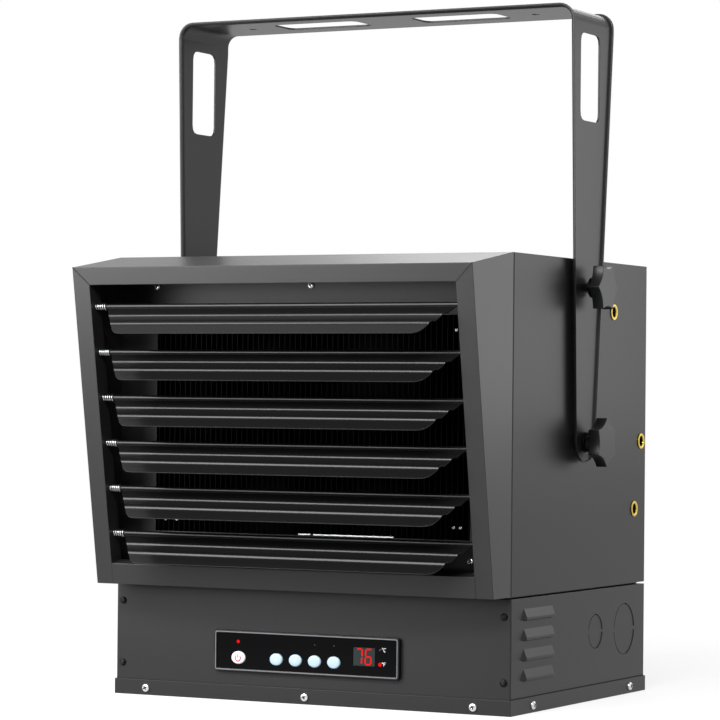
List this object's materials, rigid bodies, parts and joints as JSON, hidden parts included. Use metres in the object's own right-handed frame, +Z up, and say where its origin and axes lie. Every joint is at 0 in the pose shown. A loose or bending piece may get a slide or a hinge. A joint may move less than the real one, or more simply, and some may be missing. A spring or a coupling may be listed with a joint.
{
  "type": "ceiling mounted fan heater",
  "caption": "Box fan heater with a raked louvred outlet hood and side vented control box, hung between the legs of a tilting U bracket locked by star knobs.",
  "frame": {"origin": "middle of the bolting face on top of the bracket, between its two slots", "axes": "+Z up, +Y from the outlet to the back of the heater, +X to the right as seen from the front"},
  "size_m": [0.414, 0.3768, 0.5814],
  "materials": {
    "black_coat": "satin black powder coat",
    "dark_coat": "satin black powder coat, a little darker",
    "bright_wire": "bright plated spring wire",
    "guard_wire": "plated steel wire",
    "aluminium": "plain pressed aluminium",
    "rod_sheath": "sheathed element, dull steel",
    "plated_steel": "zinc plated steel",
    "brass": "yellow plated insert",
    "black_plastic": "moulded black plastic",
    "panel_rim": "grey moulded rim",
    "gloss_black": "gloss black panel face",
    "display_red": "smoked red display window",
    "white_plastic": "white push button",
    "pale_blue_plastic": "pale blue push button",
    "board_green": "circuit board"
  },
  "bodies": {
    "bracket": {"bracket": "black_coat"},
    "heater": {"cabinet_shell": "black_coat", "hood": "black_coat", "rear_panel": "dark_coat", "fan_guard": "guard_wire", "control_box": "black_coat", "base_tray": "black_coat", "louvre_spring_1": "bright_wire", "louvre_spring_2": "bright_wire", "louvre_spring_3": "bright_wire", "louvre_spring_4": "bright_wire", "louvre_spring_5": "bright_wire", "louvre_spring_6": "bright_wire", "fin_bank": "aluminium", "heating_rod_1": "rod_sheath", "heating_rod_2": "rod_sheath", "heating_rod_3": "rod_sheath", "limit_switch": "black_plastic", "fan_shroud": "dark_coat", "motor_strap": "dark_coat", "fan_motor": "dark_coat", "bezel": "panel_rim", "panel_face": "gloss_black", "display_window": "display_red", "circuit_board": "board_green", "terminal_block": "black_plastic", "contactor": "black_plastic", "insert_right_pivot": "brass", "insert_right_lock_1": "brass", "insert_right_lock_2": "brass", "insert_right_lock_3": "brass", "insert_right_lock_4": "brass", "insert_left_pivot": "brass", "insert_left_lock_1": "brass", "insert_left_lock_2": "brass", "insert_left_lock_3": "brass", "insert_left_lock_4": "brass"},
    "louvre_1": {"louvre_1": "dark_coat"},
    "louvre_2": {"louvre_2": "dark_coat"},
    "louvre_3": {"louvre_3": "dark_coat"},
    "louvre_4": {"louvre_4": "dark_coat"},
    "louvre_5": {"louvre_5": "dark_coat"},
    "louvre_6": {"louvre_6": "dark_coat"},
    "fan_rotor": {"fan_rotor": "aluminium"},
    "button_power": {"button_power": "white_plastic"},
    "button_warmer": {"button_warmer": "pale_blue_plastic"},
    "button_cooler": {"button_cooler": "pale_blue_plastic"},
    "button_timer": {"button_timer": "pale_blue_plastic"},
    "button_mode": {"button_mode": "pale_blue_plastic"},
    "pivot_washer_right": {"pivot_washer_right": "plated_steel"},
    "pivot_knob_right": {"pivot_knob_right": "black_plastic"},
    "lock_washer_right": {"lock_washer_right": "plated_steel"},
    "lock_knob_right": {"lock_knob_right": "black_plastic"},
    "pivot_washer_left": {"pivot_washer_left": "plated_steel"},
    "pivot_knob_left": {"pivot_knob_left": "black_plastic"},
    "lock_washer_left": {"lock_washer_left": "plated_steel"},
    "lock_knob_left": {"lock_knob_left": "black_plastic"}
  },
  "joints": [
    {"name": "tilt", "type": "hinge", "parent": "bracket", "child": "heater", "pos_m": [0, -0.0025, -0.3619], "axis": [1, 0, 0], "range_deg": [0, 117]},
    {"name": "louvre_1_turn", "type": "hinge", "parent": "heater", "child": "louvre_1", "pos_m": [0, -0.20356, -0.25322], "axis": [1, 0, 0], "range_deg": [-20, 46]},
    {"name": "louvre_2_turn", "type": "hinge", "parent": "heater", "child": "louvre_2", "pos_m": [0, -0.19721, -0.29095], "axis": [1, 0, 0], "range_deg": [-20, 46]},
    {"name": "louvre_3_turn", "type": "hinge", "parent": "heater", "child": "louvre_3", "pos_m": [0, -0.19085, -0.32868], "axis": [1, 0, 0], "range_deg": [-20, 46]},
    {"name": "louvre_4_turn", "type": "hinge", "parent": "heater", "child": "louvre_4", "pos_m": [0, -0.1845, -0.36641], "axis": [1, 0, 0], "range_deg": [-20, 46]},
    {"name": "louvre_5_turn", "type": "hinge", "parent": "heater", "child": "louvre_5", "pos_m": [0, -0.17814, -0.40414], "axis": [1, 0, 0], "range_deg": [-20, 46]},
    {"name": "louvre_6_turn", "type": "hinge", "parent": "heater", "child": "louvre_6", "pos_m": [0, -0.17179, -0.44187], "axis": [1, 0, 0], "range_deg": [-20, 36]},
    {"name": "fan_spin", "type": "hinge", "parent": "heater", "child": "fan_rotor", "pos_m": [0, 0.0675, -0.347], "axis": [0, 1, 0], "continuous": true},
    {"name": "button_power_press", "type": "slide", "parent": "heater", "child": "button_power", "axis": [0, 1, 0], "range_m": [0, 0.0008], "stiffness_N_per_m": 300},
    {"name": "button_warmer_press", "type": "slide", "parent": "heater", "child": "button_warmer", "axis": [0, 1, 0], "range_m": [0, 0.0008], "stiffness_N_per_m": 300},
    {"name": "button_cooler_press", "type": "slide", "parent": "heater", "child": "button_cooler", "axis": [0, 1, 0], "range_m": [0, 0.0008], "stiffness_N_per_m": 300},
    {"name": "button_timer_press", "type": "slide", "parent": "heater", "child": "button_timer", "axis": [0, 1, 0], "range_m": [0, 0.0008], "stiffness_N_per_m": 300},
    {"name": "button_mode_press", "type": "slide", "parent": "heater", "child": "button_mode", "axis": [0, 1, 0], "range_m": [0, 0.0008], "stiffness_N_per_m": 300},
    {"name": "pivot_draw_right", "type": "slide", "parent": "heater", "child": "pivot_washer_right", "axis": [1, 0, 0], "range_m": [0, 0.0025]},
    {"name": "pivot_screw_right", "type": "hinge", "parent": "pivot_washer_right", "child": "pivot_knob_right", "pos_m": [0.2, -0.0025, -0.3619], "axis": [1, 0, 0], "range_deg": [0, 720]},
    {"name": "lock_draw_right", "type": "slide", "parent": "bracket", "child": "lock_washer_right", "axis": [1, 0, 0], "range_m": [-0.0035, 0.0025]},
    {"name": "lock_screw_right", "type": "hinge", "parent": "lock_washer_right", "child": "lock_knob_right", "pos_m": [0.2, -0.0025, -0.2329], "axis": [1, 0, 0], "range_deg": [-1008, 720]},
    {"name": "pivot_draw_left", "type": "slide", "parent": "heater", "child": "pivot_washer_left", "axis": [-1, 0, 0], "range_m": [0, 0.0025]},
    {"name": "pivot_screw_left", "type": "hinge", "parent": "pivot_washer_left", "child": "pivot_knob_left", "pos_m": [-0.2, -0.0025, -0.3619], "axis": [-1, 0, 0], "range_deg": [0, 720]},
    {"name": "lock_draw_left", "type": "slide", "parent": "bracket", "child": "lock_washer_left", "axis": [-1, 0, 0], "range_m": [-0.0035, 0.0025]},
    {"name": "lock_screw_left", "type": "hinge", "parent": "lock_washer_left", "child": "lock_knob_left", "pos_m": [-0.2, -0.0025, -0.2329], "axis": [-1, 0, 0], "range_deg": [-1008, 720]}
  ],
  "couplings": [
    {"joint": "pivot_draw_right", "follows": "pivot_screw_right", "m_per_rad": 0.00019894},
    {"joint": "lock_draw_right", "follows": "lock_screw_right", "m_per_rad": 0.00019894},
    {"joint": "pivot_draw_left", "follows": "pivot_screw_left", "m_per_rad": 0.00019894},
    {"joint": "lock_draw_left", "follows": "lock_screw_left", "m_per_rad": 0.00019894}
  ]
}
